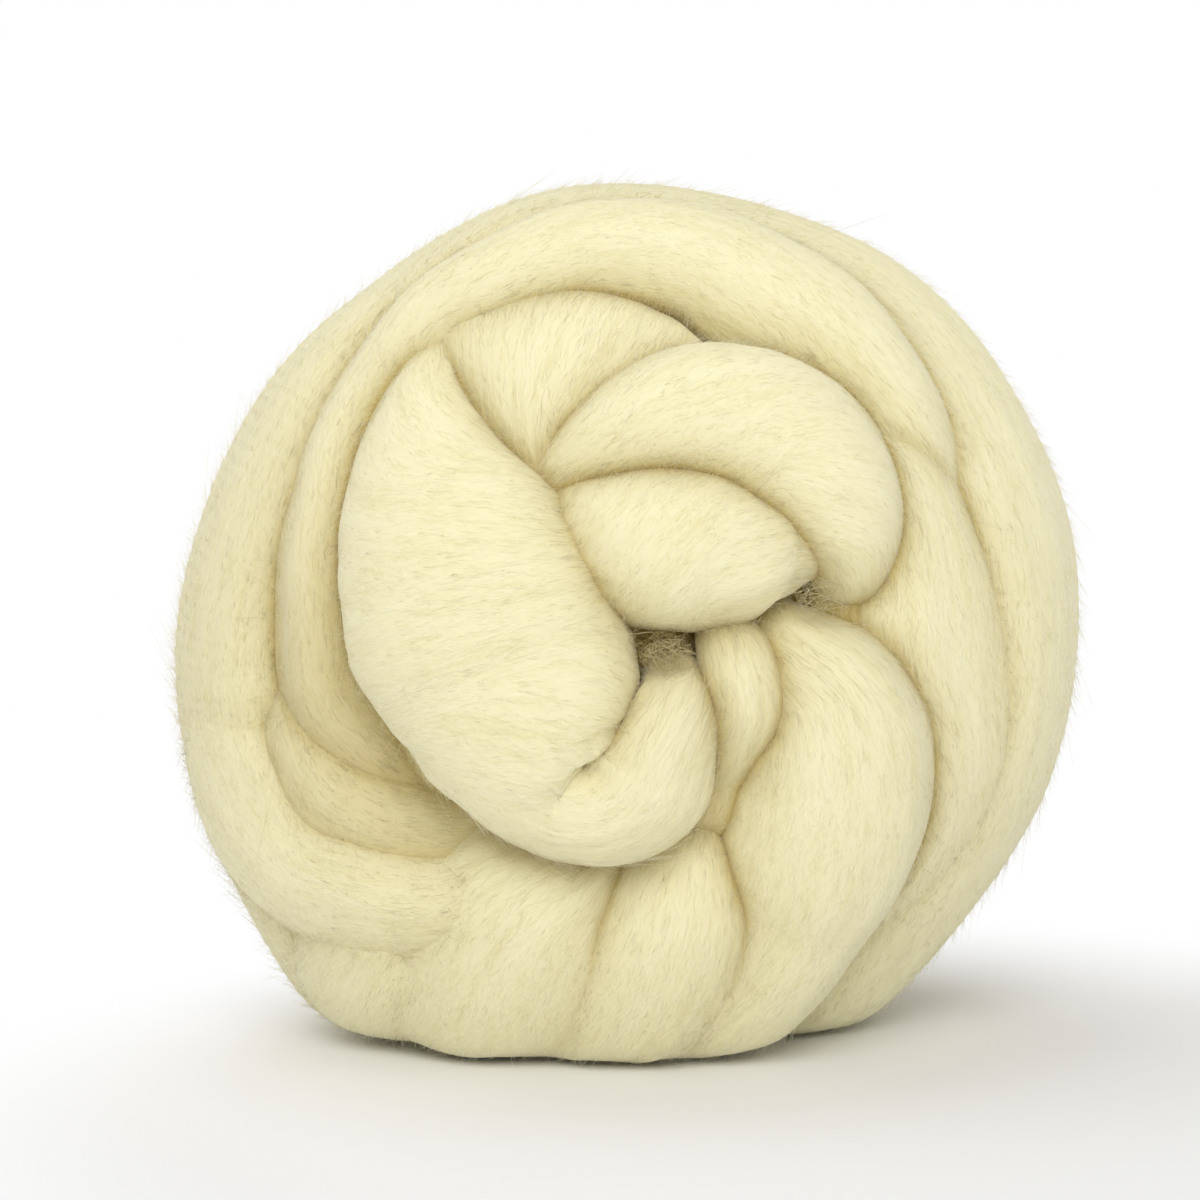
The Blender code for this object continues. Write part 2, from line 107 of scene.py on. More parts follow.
TURNS = {
    "outer_ring": Turn([
        Rim(-176, 84, 0, 18, 14),
        Rim(-150, 82, 0, 19, 14),
        Rim(-125, 80, -1.5, 20, 14, 0, 0.05),
        Rim(-95, 79, -1, 22, 14, 0, 0.12),
        Rim(-65, 80, 0, 22, 14, 0, 0.1),
        Rim(-40, 86, 0, 19, 14),
        Rim(-10, 94, 0, 18, 14),
        Rim(20, 93, 0, 18, 14),
        Rim(45, 84, 0, 19, 14),
        Rim(75, 76, 0, 21, 14),
        Rim(105, 77, 0, 21, 14),
        Rim(135, 82, 0, 19, 14),
        Rim(165, 90, 0, 17, 14),
        Rim(190, 97, -3, 15, 13),
    ], step=2.3, around=160),
    "second_ring": Turn([
        Face(-24, -32, -16, 5, 7, 0, 0.7),
        Face(-40, -26, -12, 7.5, 9, 0, 0.6),
        Face(-51.5, -16, -7, 9.5, 10, 0, 0.5),
        Face(-57, -5, -4.5, 9.5, 12, 0, 0.42),
        Face(-57, 9, -3, 9.5, 13, 0, 0.3),
        Face(-56.5, 19, -2, 9, 13, 0, 0.18),
        Face(-54, 28, -1, 8.5, 13, 0, 0.08),
        Face(-51, 37, 0, 8.5, 13),
        Face(-45, 48, 0, 9, 13),
        Face(-35, 60, 1, 9, 12),
        Face(-23.5, 66.5, 1.5, 9.5, 11.5),
        Face(-9.5, 72, 2, 10.5, 11),
        Face(3, 73, 2, 11, 11),
        Face(14, 71.5, 2, 11.5, 11),
        Face(25, 67, 1.5, 12, 12),
        Face(35, 61, 1, 12, 12),
        Face(43.5, 52.5, 0, 11, 12),
        Face(51, 43, -1, 8.5, 12),
        Face(57, 34, -5, 6, 10),
        Face(61, 23, -10, 4, 8),
    ], around=150),
    "valley": Turn([
        Face(-48, 14, -13, 4, 7, 0, 0.6),
        Face(-46, 4, -11, 6, 8, 0, 0.6),
        Face(-43, -6, -11, 7, 8, 0, 0.6),
        Face(-38, -15, -11, 7.5, 8, 0, 0.6),
        Face(-30, -24, -11, 8, 8, 0, 0.6),
        Face(-20, -31, -11, 6, 8, 0, 0.6),
    ]),
    "slope": Turn([
        Face(-66, -2, -13, 4, 7, 0, 0.2),
        Face(-64, -12, -7.5, 7, 9, 0, 0.25),
        Face(-60, -21.5, -4, 10, 10, 0, 0.3),
        Face(-54, -28.5, -3.5, 11, 10, 0, 0.35),
        Face(-45, -33.5, -4.5, 11, 10, 0, 0.4),
        Face(-35, -35, -6.5, 10, 10, 0, 0.45),
        Face(-25, -35, -9, 8.5, 9, 0, 0.5),
        Face(-15, -33.5, -13, 5, 8, 0, 0.5),
    ]),
    "left_sweep": Turn([
        Face(-75, 10, -10, 6, 8, 0, 0.12),
        Face(-77.5, -4, -5, 10, 10, 0, 0.12),
        Face(-76, -18, -1, 15, 11, 0, 0.09),
        Face(-68.5, -32, 1, 17, 11, 0, 0.04),
        Face(-58, -40.5, 1.5, 14, 11),
        Face(-46.5, -43.5, 1, 12, 11, 0, 0.06),
        Face(-33, -44, -0.5, 10, 11, 0, 0.12),
        Face(-22, -41, -4, 8, 10, 0, 0.2),
        Face(-11, -36.5, -10, 5, 8, 0, 0.4),
        Face(-3, -33, -17, 4, 6, 0, 0.5),
    ]),
    "right_bundle": Turn([
        Face(44, 45, -10, 4, 8),
        Face(50, 37, -4.5, 8, 11),
        Face(53.5, 27, -2.5, 10, 12),
        Face(56, 16, -2, 13, 13),
        Face(58, 2, -1.5, 15.5, 13),
        Face(60.5, -12, -1, 14, 12),
        Face(60.5, -23, -1, 13, 12),
        Face(57.5, -35, -2, 12, 12),
        Face(51, -48, -4, 11, 11),
        Face(43, -60, -6, 8, 9),
    ]),
    "front_fold": Turn([
        Face(-33, 60, -10, 3, 7, 25),
        Face(-34.5, 53.5, -4, 6, 10, 28),
        Face(-36.2, 45.5, 0.5, 9.5, 13, 33),
        Face(-36, 37, 3.5, 14, 15, 40),
        Face(-34, 27.5, 6, 18.5, 17, 50),
        Face(-30.4, 18.4, 8, 21.6, 18, 60),
        Face(-26.6, 10.1, 8, 23.6, 18, 68),
        Face(-22.3, 1.4, 8, 22, 18, 70),
        Face(-18.9, -6, 8, 20.2, 17, 64),
        Face(-16.6, -12.8, 7.5, 18.4, 16.5, 52),
        Face(-14.2, -18.2, 6.5, 14.4, 15.5, 38),
        Face(-11, -21.4, 5.5, 12, 14, 24),
        Face(-8.2, -22.6, 5, 11, 13, 14),
        Face(-3.6, -22.6, 5, 11, 12.5, 9),
        Face(0.6, -20.6, 5, 11.5, 12, 6),
        Face(3.6, -17, 5, 11.6, 12, 4),
        Face(6.2, -12, 4, 9.6, 11, 3),
        Face(8.3, -8.4, 0, 7.4, 10, 2),
        Face(9.2, -5.6, -7, 6, 8),
        Face(9.7, -3.6, -13, 4.5, 6),
        Face(9.8, -0.5, -18, 3, 5),
    ], step=0.7, around=160, own_reach=20.0),
    "fold_core": Turn([
        Face(-17, -5, -11, 4, 8, 20),
        Face(-11, -9, -5, 7, 11, 20),
        Face(-6.5, -13, -1, 8, 12, 20),
        Face(-4, -17, 0.5, 7.5, 11, 20),
        Face(-2, -21.5, -6, 5, 9, 20),
    ]),
    "fan": Turn([
        Face(-13, 31, -16, 3, 6),
        Face(-15.5, 37, -8, 7, 10),
        Face(-16.5, 44, -4, 13, 12),
        Face(-15, 51, -3, 20, 12),
        Face(-13, 57, -3, 25, 12),
        Face(-11, 63, -6, 26, 12),
        Face(-9, 69, -13, 20, 10),
    ]),
    "crescent": Turn([
        Face(-14, 31, -14, 3, 6),
        Face(-10.5, 35.5, -6, 5.5, 9, 5),
        Face(-4.5, 39, -1, 8, 11, 8),
        Face(3, 42.5, 2, 10.5, 13, 12),
        Face(12, 44, 3.5, 13, 14, 18),
        Face(21, 42.5, 4.5, 14, 15, 30),
        Face(29, 38, 4.5, 14.5, 15, 42),
        Face(34.5, 31.5, 4, 14, 14, 50),
        Face(38.5, 25, 2, 11, 13, 50),
        Face(40.5, 20, -3, 8, 10, 40),
        Face(41, 16, -11, 4, 7, 30),
    ], step=0.8, around=150),
    "knob": Turn([
        Face(-13.5, 25.5, -15, 4, 7, 80),
        Face(-9.5, 25, -7, 8, 11, 78),
        Face(-4.5, 24.4, -1, 11, 14, 72),
        Face(1.5, 22.8, 3, 13.2, 15.5, 64),
        Face(8, 22, 5, 14, 16, 55),
        Face(14, 21.4, 5.5, 13.6, 16, 45),
        Face(20, 20.4, 4, 12, 14, 34),
        Face(24.2, 20.4, 1.5, 9.2, 12, 25),
        Face(27.6, 20.2, -3, 7, 9, 15),
        Face(30, 19.8, -10, 4.5, 7, 10),
    ], step=0.8, around=150),
    "tuck": Turn([
        Face(47, 28, -12, 4, 7, 0, 0.4),
        Face(45, 21, -10, 6, 8, 0, 0.55),
        Face(44, 14, -10.5, 7, 8, 0, 0.65),
        Face(44.5, 6, -10, 7, 8, 0, 0.6),
        Face(48, -2, -9, 6, 8, 0, 0.5),
        Face(52, -9, -13, 4, 7, 0, 0.4),
    ]),
    "stub": Turn([
        Face(17.5, 7, -12, 3, 6),
        Face(19, 3, -3, 5.5, 8),
        Face(20, -1, 0, 7, 9),
        Face(20.8, -5.5, 0.5, 7.4, 9),
        Face(19.8, -11, -2.5, 7.2, 8.5),
        Face(18, -18, -6.5, 8.5, 9, 0, 0.2),
        Face(16.5, -26, -7.5, 8.5, 9, 0, 0.3),
        Face(15, -35, -9.5, 8, 8, 0, 0.4),
    ]),
    "lower_lobe": Turn([
        Face(27, 8, -18, 5, 8),
        Face(30, 2, -7, 8.2, 11),
        Face(33.8, -2.5, 0, 10.8, 13),
        Face(36.3, -6, 3.5, 13.3, 14),
        Face(37.8, -12, 5, 16, 15),
        Face(38.2, -20, 5.5, 17, 16),
        Face(37, -29, 5.5, 17.5, 16),
        Face(34.5, -38.5, 5, 16.5, 15),
        Face(31, -47, 4, 14.5, 14),
        Face(26, -56, 3, 13.5, 13),
        Face(18, -66, 2, 13, 12),
        Face(10, -76, 1.5, 12, 11),
        Face(5, -82, 1, 11, 10),
    ]),
    "lobe_right": Turn([
        Face(13.5, -31, -14, 5, 8),
        Face(12, -37, -7, 9, 11),
        Face(10.5, -44, -1.5, 14, 13),
        Face(9, -49, 1, 16, 14),
        Face(5.5, -57, 2, 17, 14),
        Face(0, -66, 2, 16, 13),
        Face(-6, -76, 1.5, 15, 12),
        Face(-10, -82, 1, 14, 12),
    ]),
    "lobe_mid": Turn([
        Face(-1, -34, -10, 6, 8),
        Face(-8, -39, -4, 13, 12),
        Face(-15, -45, -0.5, 19, 14),
        Face(-20, -53, 1, 22, 15),
        Face(-24, -62, 1.5, 22, 15),
        Face(-29, -71, 1.5, 20, 14),
        Face(-34, -79, 1, 17, 12),
    ]),
    "lobe_left": Turn([
        Face(-34, -41, -8, 9, 10),
        Face(-38.5, -48, -3, 15, 12),
        Face(-43, -56, 0, 18, 13),
        Face(-47.5, -65, 0.5, 17, 13),
        Face(-52, -73, 0.5, 14, 12),
        Face(-56, -80, 0, 11, 11),
    ]),
    "back_middle": Turn([
        Rim(-20, 152, -14, 9, 8, 0, 0.2),
        Rim(-35, 161, -8, 14, 11, 0, 0.2),
        Rim(-75, 171, -6, 16, 12, 0, 0.2),
        Rim(-150, 168, -6, 16, 12, 0, 0.2),
        Rim(-160, 156, -9, 13, 11, 0, 0.2),
        Rim(-165, 148, -15, 9, 8, 0, 0.2),
    ], step=2.4, around=110),
}

# The back is one coil that winds outward from the middle to the outer ring.
COIL_TURNS = 2.6
COIL_ROWS_PER_TURN = 14
COIL_START_TILT = 174.0    # close to the middle of the back
COIL_END_TILT = 106.0      # mean tilt of the outermost turn
COIL_END_SWAY = 8.0        # the outermost turn leans this far back at the top and the foot
COIL_EASE = 0.8            # under 1 spaces it wider near its middle
COIL_SINK = 3.0            # how far the coil's start lies in under the skin
COIL_START_WIDTH = 13.0
COIL_END_WIDTH = 17.0
COIL_THICK = 14.0

# Relief of the wool: width and length of its ridges along the fibres, and their height
Ridge = namedtuple("Ridge", "width length height")
RIDGES = [
    Ridge(13.0, 60.0, 0.80),
    Ridge(6.0, 26.0, 0.36),
    Ridge(2.6, 11.0, 0.17),
    Ridge(1.3, 6.0, 0.06),
]
NOISE_PRIMES = (73856093, 19349663, 83492791)
NOISE_SEED_PRIME, NOISE_MIXER = 7919, 1274126177
FIBRE_OFFSET = 977.0       # keeps the patterns of different turns apart

# Shade is painted on the wool close to a crease, where it faces another turn: its colour is
# darkened there.
CREASE_REACH = 12.0        # how far from the next turn the shade starts
CREASE_LINE, CREASE_SIDE = 1.3, 4.5     # how fast its narrow part and its wide part fade
LINE_SHARE = 0.45          # how much of the shade is the narrow part
SHADE_GAIN = 2.0           # the shade is full where the turns face each other by half
COARSE_STEP = 2.6          # spacing of the coarser copy in which the next turn is looked up
COARSE_AROUND = 3          # it has one in this many of the points round each section
PART_SHARE = 0.6           # a turn is looked up in parts of this share of its own_reach

# Near a crease the turns settle onto one skin that is fused from all of them and smoothed.
SKIN_STEP = 1.4            # spacing of the sections it is made from
SKIN_VOXEL = 1.2
SKIN_SMOOTHING = 16
SKIN_REACH = 4.0           # points further than this from the skin stay where they are
SKIN_EASE = 1.5            # the pull to it eases off over this distance before that
SKIN_TURNED = 0.2          # and where a point faces sideways to it, within this cosine
HIDDEN_REACH = 1.5         # a turn leaves the skin over this depth inside the next turn
HIDDEN_SINK = 0.25         # how far it lies under the skin there, as a share of that depth
CALM_REACH, CALM_LEAST = 3.0, 0.2       # the ridges are lower this close to a crease
MOVE_ROUNDS, CALM_ROUNDS = 6, 2         # how often these are averaged over the grid

# Loose fibres, so many to the square millimetre. Lying ones follow the wool and are tucked in
# at both ends; standing and flyaway ones lift off it at one end; bridging ones cross a crease,
# and their length is a multiple of the way across it.
Fibres = namedtuple("Fibres", "per_area points length lift radius")
LYING = Fibres(per_area=0.28, points=3, length=(2.0, 5.0), lift=(0.03, 0.22), radius=0.035)
STANDING = Fibres(per_area=0.42, points=3, length=(1.0, 4.5), lift=(0.3, 2.0), radius=0.025)
FLYAWAY = Fibres(per_area=0.012, points=6, length=(4.0, 10.0), lift=(1.0, 3.5), radius=0.025)
BRIDGING = Fibres(per_area=0.42, points=3, length=(0.7, 1.9), lift=(0.15, 1.1), radius=0.028)
FIBRE_KINDS = {"lying": LYING, "standing": STANDING, "flyaway": FLYAWAY, "bridging": BRIDGING}
FIBRE_SEEDS = {"lying": 100, "standing": 200, "gap": 300, "flyaway": 400, "bridging": 500}
FIBRE_GROUPS = {"outer_ring": "rings", "second_ring": "rings", "back_coil": "coil"}
CREASE_LIFT = 3.0          # fibres lift up to this many times higher in a crease
SEEN_FROM, SEEN_WITHIN = 0.8, 60.0      # wool as near over a root as this hides its fibre
WANDER = 0.05              # how far a fibre strays sideways, over its length
SWAY_HEIGHT, SWAY_LENGTH = (0.1, 0.4), (1.2, 3.0)   # mm, of its waves and of a radian of one
SWAY_PHASE = 6.3           # radians: a whole wave
STAND_CURVE = 1.7          # over 1 lets a standing fibre rise late
STAND_TUCK, LIE_TUCK = 0.3, 0.12        # how deep under the surface the ends are tucked
STAND_LEAN = 0.7           # how far a standing fibre leans over, over its lift
ARCH_CURVE = 0.7           # under 1 makes a lying fibre's arch fuller
BRIDGED = (0.4, 4.5)       # how wide the creases are that bridging fibres cross
BRIDGE_SKEW = 0.8          # how far they stray along the crease, over the way across it
BRIDGE_CURVE, BRIDGE_TUCK = 0.8, 0.1    # as for lying fibres

# Hairs stretch across the two dark gaps of the face. Each group is given as seen from the
# front, by its middle, its half sizes, how far under the ball's front it lies, how many hairs it
# has and how much shade is painted on them.
Gap = namedtuple("Gap", "right up half_width half_height below hairs shade")
GAPS = [
    Gap(4.0, 5.0, 7.0, 3.5, 8.0, 40, 1.0),
    Gap(7.0, 3.0, 5.0, 3.0, 5.0, 110, 0.8),
    Gap(32.0, 12.0, 4.5, 3.5, 9.0, 24, 1.0),
    Gap(32.0, 12.0, 4.5, 3.5, 7.5, 40, 0.6),
]
GAP_HAIR_POINTS, GAP_HAIR_RADIUS = 7, 0.03
GAP_HAIR_SKEW = 0.9        # radians by which its ends are off opposite sides of the gap
GAP_HAIR_DEPTH = 2.0       # its ends lie up to this far in front of the depth and behind it
GAP_HAIR_BEND, GAP_HAIR_WAVE = 1.2, 0.35        # spread of its bend and its waves' height
GAP_HAIR_WAVES = (1.0, 2.5)     # how many waves it has

# The camera stands where the photographer's did
PICTURE = 1200                 # side of the picture, in pixels
BALL_AT = (626, 625)           # pixel where the ball's centre shows
PIXELS_PER_MM = 5.7            # at the ball's centre
CAMERA_AWAY = 750.0
CAMERA_RAISED = 8.0            # degrees above the level
SENSOR = 36.0


def reach(bearing):
    """Distance from the centre to the outline at a bearing, eased between the table's rows."""
    bearing = (bearing + 180.0) % 360.0 - 180.0
    closed = OUTLINE + [Outline(OUTLINE[0].bearing + 360, OUTLINE[0].reach)]
    for here, ahead in zip(closed, closed[1:]):
        if here.bearing <= bearing <= ahead.bearing:
            share = (bearing - here.bearing) / (ahead.bearing - here.bearing)
            eased = share * share * (3.0 - 2.0 * share)
            return here.reach + (ahead.reach - here.reach) * eased
    raise ValueError("no outline at bearing %g" % bearing)


def place(row):
    """Centre of a turn's section at a row, and the skin's outward direction there."""
    if isinstance(row, Face):
        bearing = math.atan2(row.right, row.up)
        radius = reach(math.degrees(bearing))
        tilt = math.asin(min(math.hypot(row.right, row.up) / radius, RIM_SHARE))
    else:
        bearing = math.radians(row.bearing)
        radius = reach(row.bearing)
        tilt = math.radians(row.tilt)
    half_axes = np.array([radius, HALF_DEPTH, radius])
    toward = np.array([
        math.sin(tilt) * math.sin(bearing),
        -math.cos(tilt),
        math.sin(tilt) * math.cos(bearing),
    ])
    outward = toward / half_axes
    outward /= np.linalg.norm(outward)
    return toward * half_axes + outward * (row.rise - row.half_thick), outward


def coil_rows():
    """Rows of the back's coil, from its middle outward."""
    steps = round(COIL_TURNS * COIL_ROWS_PER_TURN)
    rows = []
    for index in range(steps + 1):
        share = index / steps
        bearing = 360.0 * COIL_TURNS * share
        end_tilt = COIL_END_TILT + COIL_END_SWAY * math.cos(math.radians(2.0 * bearing))
        tilt = COIL_START_TILT + (end_tilt - COIL_START_TILT) * share ** COIL_EASE
        rise = -COIL_SINK * (1.0 - share) ** 2
        half_width = COIL_START_WIDTH + (COIL_END_WIDTH - COIL_START_WIDTH) * share
        rows.append(Rim(bearing, tilt, rise, half_width, COIL_THICK))
    return rows


def smooth_rows(rows, step):
    """Catmull-Rom curve through rows of numbers whose first three are a position."""
    table = np.array(rows)
    padded = np.vstack([2 * table[0] - table[1], table, 2 * table[-1] - table[-2]])
    pieces = []
    for index in range(1, len(padded) - 2):
        before, start, end, after = padded[index - 1:index + 3]
        count = max(2, int(np.linalg.norm(end[:3] - start[:3]) / step) + 1)
        t = np.linspace(0.0, 1.0, count, endpoint=False)[:, None]
        pieces.append(0.5 * (
            2 * start
            + (end - before) * t
            + (2 * before - 5 * start + 4 * end - after) * t ** 2
            + (3 * start - before - 3 * end + after) * t ** 3
        ))
    pieces.append(table[-1:])
    return np.vstack(pieces)


def unit(vectors):
    return vectors / np.maximum(np.linalg.norm(vectors, axis=-1, keepdims=True), 1e-9)


def signed_power(values, power):
    return np.sign(values) * np.abs(values) ** power


def running_sum(values, steps):
    """Running integral of values over steps, starting at zero."""
    middles = (values[1:] + values[:-1]) / 2.0
    return np.concatenate([[0.0], np.cumsum(middles * steps)])


def pressed(points):
    """Points over the floor, with those near and under it pressed softly to it."""
    up = points[..., 2] + CENTRE_UP
    low = SOFT_FLOOR * np.exp(np.minimum(up / SOFT_FLOOR - 1.0, 0.0))
    settled = points.copy()
    settled[..., 2] = np.maximum(np.where(up < SOFT_FLOOR, low, up) - FLAT_CUT, FLOOR_GAP)
    return settled


def noise(points, seed):
    """Smooth random field from -1 to 1, with cells one unit wide."""
    cell = np.floor(points).astype(np.int64)
    part = points - cell
    eased = part * part * (3.0 - 2.0 * part)
    total = np.zeros(points.shape[:-1])
    for corner in itertools.product((0, 1), repeat=3):
        spot = (cell + corner) * NOISE_PRIMES
        mixed = (spot[..., 0] ^ spot[..., 1] ^ spot[..., 2]) + seed * NOISE_SEED_PRIME
        mixed = (mixed ^ (mixed >> 13)) * NOISE_MIXER
        value = ((mixed ^ (mixed >> 16)) & 0xFFFF) / 32767.5 - 1.0
        share = np.where(corner, eased, 1.0 - eased).prod(axis=-1)
        total += value * share
    return total


def relief(fibre):
    """Height of the wool over the plain oval, in ridges that follow the fibres."""
    height = np.zeros(fibre.shape[:-1])
    for seed, ridge in enumerate(RIDGES):
        scale = np.array([ridge.width, ridge.width, ridge.length])
        height += ridge.height * noise(fibre / scale, seed)
    return height


# A turn's surface as a grid: sections along it, points round each. Length and twist are along
# it, fraction is how far round a section a point lies, and area is what one point stands for.
# Rise is the height of its ridges, which are added when the creases have been softened, and
# shade is how much shade is painted on each point, for lying deep in the ball or in a crease.
# Across is the way to the next turn, and opening the way out of the crease between them.
Surface = namedtuple(
    "Surface", "points normals fibre length fraction twist girth lay area rise shade"
    " across opening", defaults=(None, None))


def grid_normals(points):
    along = np.gradient(points, axis=0)
    around = np.roll(points, -1, axis=1) - np.roll(points, 1, axis=1)
    facing = np.cross(along, around / 2.0)
    return unit(facing), np.linalg.norm(facing, axis=-1)


def sweep(turn, seed):
    """Surface of one turn: an oval swept along its rows, with round ends."""
    table = []
    for row in turn.rows:
        centre, outward = place(row)
        table.append(
            [*centre, *outward, row.half_width, row.half_thick, row.lay, row.shade])
    curve = smooth_rows(table, turn.step)
    centre, half_width, half_thick = curve[:, :3], curve[:, 6], curve[:, 7]
    lay = np.radians(curve[:, 8])
    along = unit(np.gradient(centre, axis=0))
    outward = curve[:, 3:6]
    outward = unit(outward - (outward * along).sum(axis=1, keepdims=True) * along)
    across = np.cross(along, outward)

    steps = np.linalg.norm(np.diff(centre, axis=0), axis=1)
    length = np.concatenate([[0.0], np.cumsum(steps)])
    to_end = np.minimum(length, length[-1] - length)
    end_length = np.minimum(half_width, END_SHARE * length[-1])
    closing = 1.0 - np.clip(to_end / end_length, 0.0, 1.0)
    size = np.maximum(np.sqrt(1.0 - closing ** 2), END_TIP)

    # angle runs from the inner side round to it again, closest spaced on the outer side
    even = np.linspace(-1.0, 1.0, turn.around, endpoint=False)
    angle = math.pi * (0.5 + FRONT_DENSITY * even + (1.0 - FRONT_DENSITY) * even ** 3)
    wide = (half_width * size)[:, None] * signed_power(np.cos(angle), 2.0 / OVAL_POWER)
    thick = (half_thick * size)[:, None] * signed_power(np.sin(angle), 2.0 / OVAL_POWER)

    side = np.hypot(np.roll(wide, -1, axis=1) - wide, np.roll(thick, -1, axis=1) - thick)
    girths = side.sum(axis=1)
    fraction = ((np.cumsum(side, axis=1) - side) / girths[:, None]).mean(axis=0)
    girth = np.median(girths)
    twist = -running_sum(np.tan(lay), steps) * 2.0 * math.pi / girth
    fibre_angle = 2.0 * math.pi * fraction + twist[:, None]
    radius = (girth * np.cos(lay) / (2.0 * math.pi))[:, None]
    fibre_length = running_sum(1.0 / np.cos(lay), steps) + seed * FIBRE_OFFSET
    fibre = np.stack([
        radius * np.cos(fibre_angle),
        radius * np.sin(fibre_angle),
        np.broadcast_to(fibre_length[:, None], wide.shape),
    ], axis=-1)

    points = pressed(
        centre[:, None] + across[:, None] * wide[..., None] + outward[:, None] * thick[..., None]
    )
    normals, area = grid_normals(points)
    rise = relief(fibre) * size[:, None]
    shade = np.broadcast_to(np.clip(curve[:, 9:], 0.0, 1.0), rise.shape)
    return Surface(points, normals, fibre, length, fraction, twist, girth, lay, area, rise, shade)


def joined(surfaces, step, around_step):
    """All turns as one mesh, with each face's turn and its place along it.

    Sections are about a step apart, with one in around_step of their points.
    """
    points, faces, turns, lengths, count = [], [], [], [], 0
    for number, surface in enumerate(surfaces):
        spacing = surface.length[-1] / (len(surface.length) - 1)
        rows = slice(None, None, max(1, round(step / spacing)))
        grid = surface.points[rows, ::around_step]
        sections, around = grid.shape[:2]
        points.append(grid.reshape(-1, 3))
        faces.append(np.array(tube_faces(sections, around)[:-2]) + count)
        turns.append(np.full((sections - 1) * around, number))
        lengths.append(np.repeat(surface.length[rows][:-1], around))
        count += sections * around
    return np.concatenate(points), *map(np.concatenate, (faces, turns, lengths))


def soft_skin(surfaces):
    """All turns fused and smoothed into one skin, whose creases are soft valleys."""
    points, faces = joined(surfaces, SKIN_STEP, 1)[:2]
    mesh = bpy.data.meshes.new("skin")
    mesh.from_pydata(points.tolist(), [], faces.tolist())
    source = new_object("skin", mesh)
    remesh = source.modifiers.new("fuse", "REMESH")
    remesh.mode = "VOXEL"
    remesh.voxel_size = SKIN_VOXEL
    soften = source.modifiers.new("soften", "SMOOTH")
    soften.factor = 0.5
    soften.iterations = SKIN_SMOOTHING
    bpy.context.view_layer.update()
    skin = BVHTree.FromObject(source, bpy.context.evaluated_depsgraph_get())
    bpy.data.objects.remove(source, do_unlink=True)
    bpy.data.meshes.remove(mesh)
    return skin


# For each point: how it moves to settle on the skin, how much shade is painted on it for lying in
# a crease (0 on open wool, 1 where turns touch), how high its ridges are, and the ways to the
# next turn and out of the crease.
Near = namedtuple("Near", "moves shade calm across opening")


def far_from_creases(*shape):
    """The values of points that no crease is near."""
    moves, across, opening = (np.zeros((*shape, 3)) for _ in range(3))
    return Near(moves, np.zeros(shape), np.ones(shape), across, opening)


def near_crease(points, normals, wool, skin):
    """What the creases do to each point."""
    near = far_from_creases(len(points))
    for index, point in enumerate(points):
        normal = Vector(normals[index])
        point = Vector(point)
        inside = 0.0
        spot, facing, _, gap = wool.find_nearest(point, CREASE_REACH)
        if spot is not None:
            turned = (1.0 - facing.dot(normal)) / 2.0
            narrow = LINE_SHARE * math.exp(-gap / CREASE_LINE)
            wide = (1.0 - LINE_SHARE) * math.exp(-gap / CREASE_SIDE)
            fade = 1.0 - (gap / CREASE_REACH) ** 2
            near.shade[index] = min(1.0, SHADE_GAIN * turned) * (narrow + wide) * fade
            near.calm[index] = min(1.0, max(CALM_LEAST, gap / CALM_REACH))
            near.across[index] = spot - point
            near.opening[index] = (normal + facing).normalized()
            if facing.dot(point - spot) < 0.0:
                inside = gap
        where, up, _, far = skin.find_nearest(point, SKIN_REACH)
        if where is not None:
            share = min(1.0, (SKIN_REACH - far) / SKIN_EASE)
            share *= max(0.0, 1.0 - inside / HIDDEN_REACH)
            share *= min(1.0, max(0.0, (up.dot(normal) + SKIN_TURNED) / (2.0 * SKIN_TURNED)))
            near.moves[index] = share * (where - up * HIDDEN_SINK * inside - point)
    return near


def evened(values, rounds):
    """Values on a turn's grid, each averaged with those beside it."""
    for _ in range(rounds):
        ends = np.concatenate([values[:1], values, values[-1:]])
        values = 0.5 * values + 0.25 * (ends[:-2] + ends[2:])
        values = 0.5 * values + 0.25 * (np.roll(values, 1, axis=1) + np.roll(values, -1, axis=1))
    return values


def softened(turns, surfaces):
    """The turns' surfaces with their creases softened and shaded."""
    skin = soft_skin(surfaces)
    points, faces, owners, lengths = joined(surfaces, COARSE_STEP, COARSE_AROUND)
    points = points.tolist()
    results = []
    for number, (turn, surface) in enumerate(zip(turns, surfaces)):
        whole = surface.length[-1]
        parts = max(1, round(whole / (PART_SHARE * turn.own_reach)))
        part_of = np.minimum((surface.length / whole * parts).astype(int), parts - 1)
        shape = surface.points.shape[:2]
        near = far_from_creases(*shape)
        for part in range(parts):
            rows = part_of == part
            first, last = surface.length[rows][[0, -1]]
            before, after = lengths < first - turn.own_reach, lengths > last + turn.own_reach
            beside = (owners != number) | before | after
            wool = BVHTree.FromPolygons(points, faces[beside].tolist())
            found = near_crease(surface.points[rows].reshape(-1, 3),
                                surface.normals[rows].reshape(-1, 3), wool, skin)
            for values, part_values in zip(near, found):
                values[rows] = part_values.reshape(values[rows].shape)
        settled = surface.points + evened(near.moves, MOVE_ROUNDS)
        normals = grid_normals(settled)[0]
        settled += normals * (surface.rise * evened(near.calm, CALM_ROUNDS))[..., None]
        settled[..., 2] = np.maximum(settled[..., 2], FLOOR_GAP)
        normals, area = grid_normals(settled)
        # painted shade: that of lying deep in the ball and that of the creases, combined
        shade = 1.0 - (1.0 - surface.shade) * (1.0 - evened(near.shade, 1))
        results.append(surface._replace(points=settled, normals=normals, area=area, shade=shade,
                                        across=near.across, opening=near.opening))
    return results


def new_object(name, data):
    made = bpy.data.objects.new(name, data)
    bpy.context.collection.objects.link(made)
    return made


